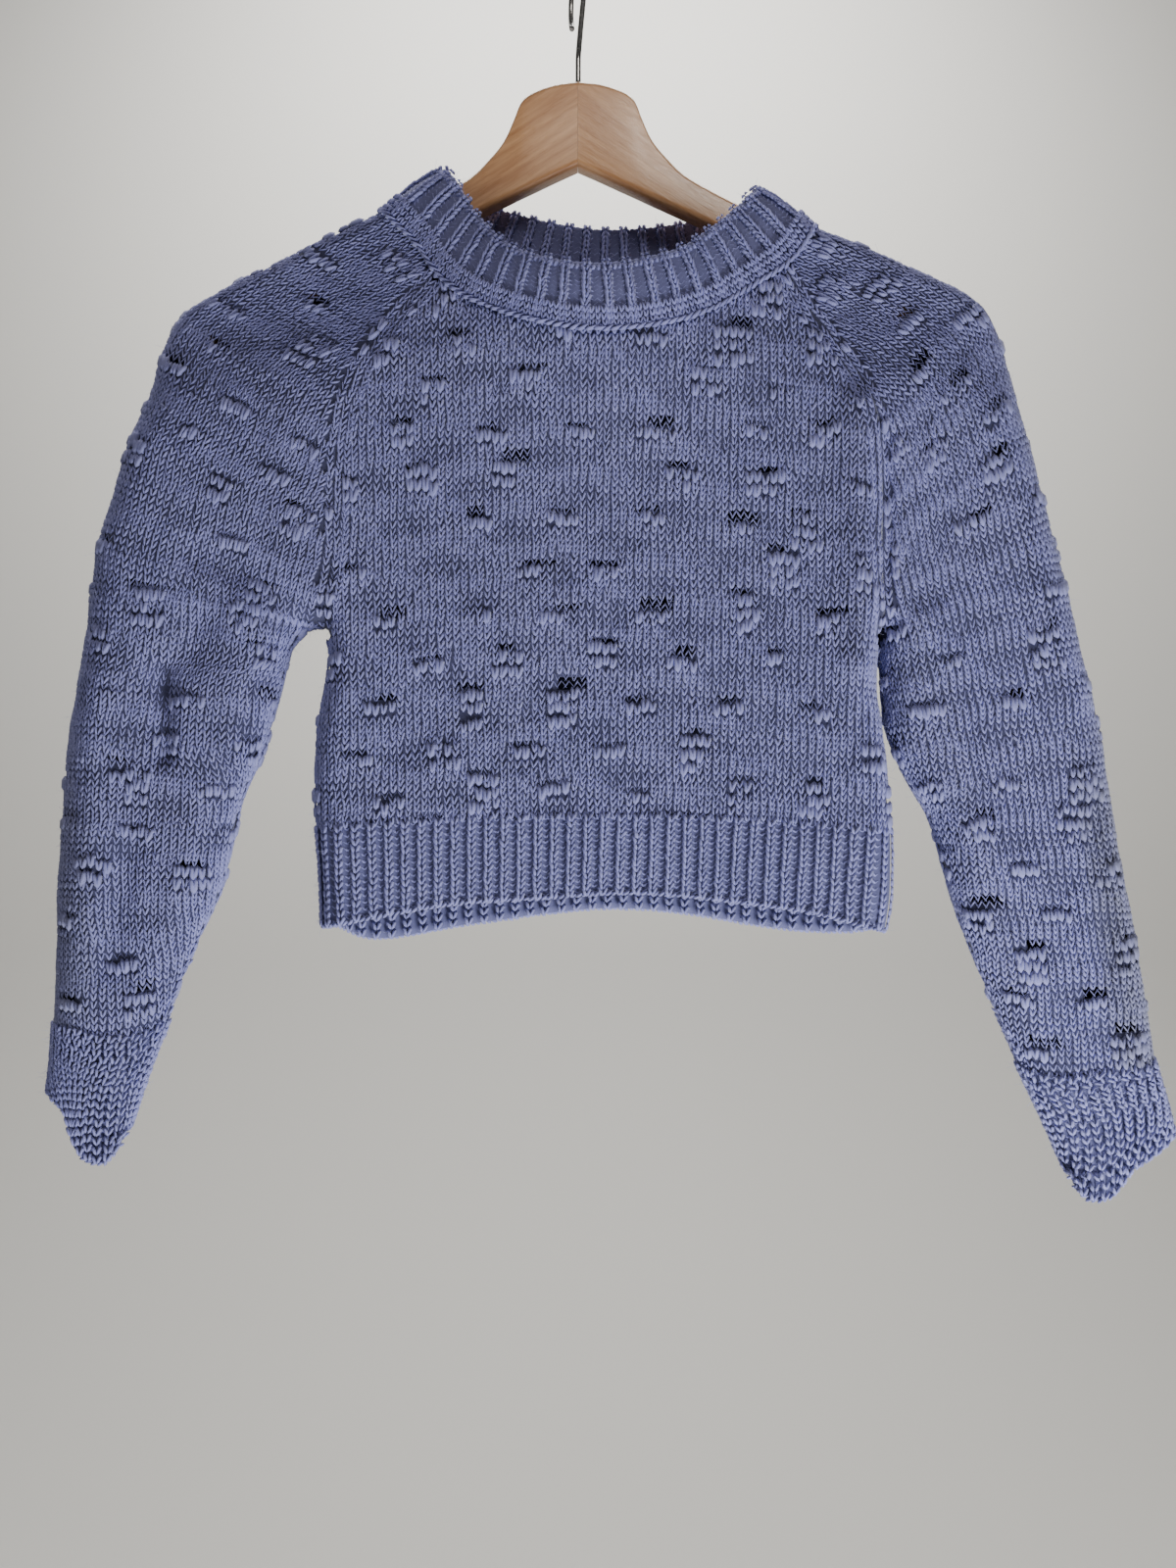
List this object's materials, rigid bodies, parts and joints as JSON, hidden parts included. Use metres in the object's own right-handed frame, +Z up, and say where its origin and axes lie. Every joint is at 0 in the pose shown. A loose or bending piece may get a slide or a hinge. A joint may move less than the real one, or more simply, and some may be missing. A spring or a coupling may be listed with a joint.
{
  "type": "cropped knit sweater on a wooden hanger",
  "caption": "Cropped raglan crew-neck sweater in slub wool knit with ribbed collar, hem and cuffs, hanging flat on a wooden hanger with a wire hook.",
  "frame": {"origin": "inside of the hook's crown, where a rail or peg carries the hanger", "axes": "+Z up, -Y towards the sweater's front, +X towards the wearer's left"},
  "size_m": [0.6091, 0.0605, 0.6778],
  "materials": {
    "front_panel": "slub wool stockinette, periwinkle blue, matt and slightly fuzzy",
    "back_panel": "slub wool stockinette, periwinkle blue, matt and slightly fuzzy",
    "right_sleeve": "slub wool stockinette, periwinkle blue",
    "left_sleeve": "slub wool stockinette, periwinkle blue",
    "collar_rib": "doubled one by one wool rib",
    "front_hem_rib": "one by one wool rib",
    "back_hem_rib": "one by one wool rib",
    "right_cuff_rib": "one by one wool rib",
    "left_cuff_rib": "one by one wool rib",
    "hanger_right_half": "light brown wood under clear varnish",
    "hanger_left_half": "light brown wood under clear varnish",
    "hanger_hook": "bright plated steel wire"
  },
  "bodies": {
    "root": {"front_panel": "front_panel", "back_panel": "back_panel", "right_sleeve": "right_sleeve", "left_sleeve": "left_sleeve", "collar_rib": "collar_rib", "front_hem_rib": "front_hem_rib", "back_hem_rib": "back_hem_rib", "right_cuff_rib": "right_cuff_rib", "left_cuff_rib": "left_cuff_rib", "hanger_right_half": "hanger_right_half", "hanger_left_half": "hanger_left_half", "hanger_hook": "hanger_hook"}
  },
  "joints": []
}
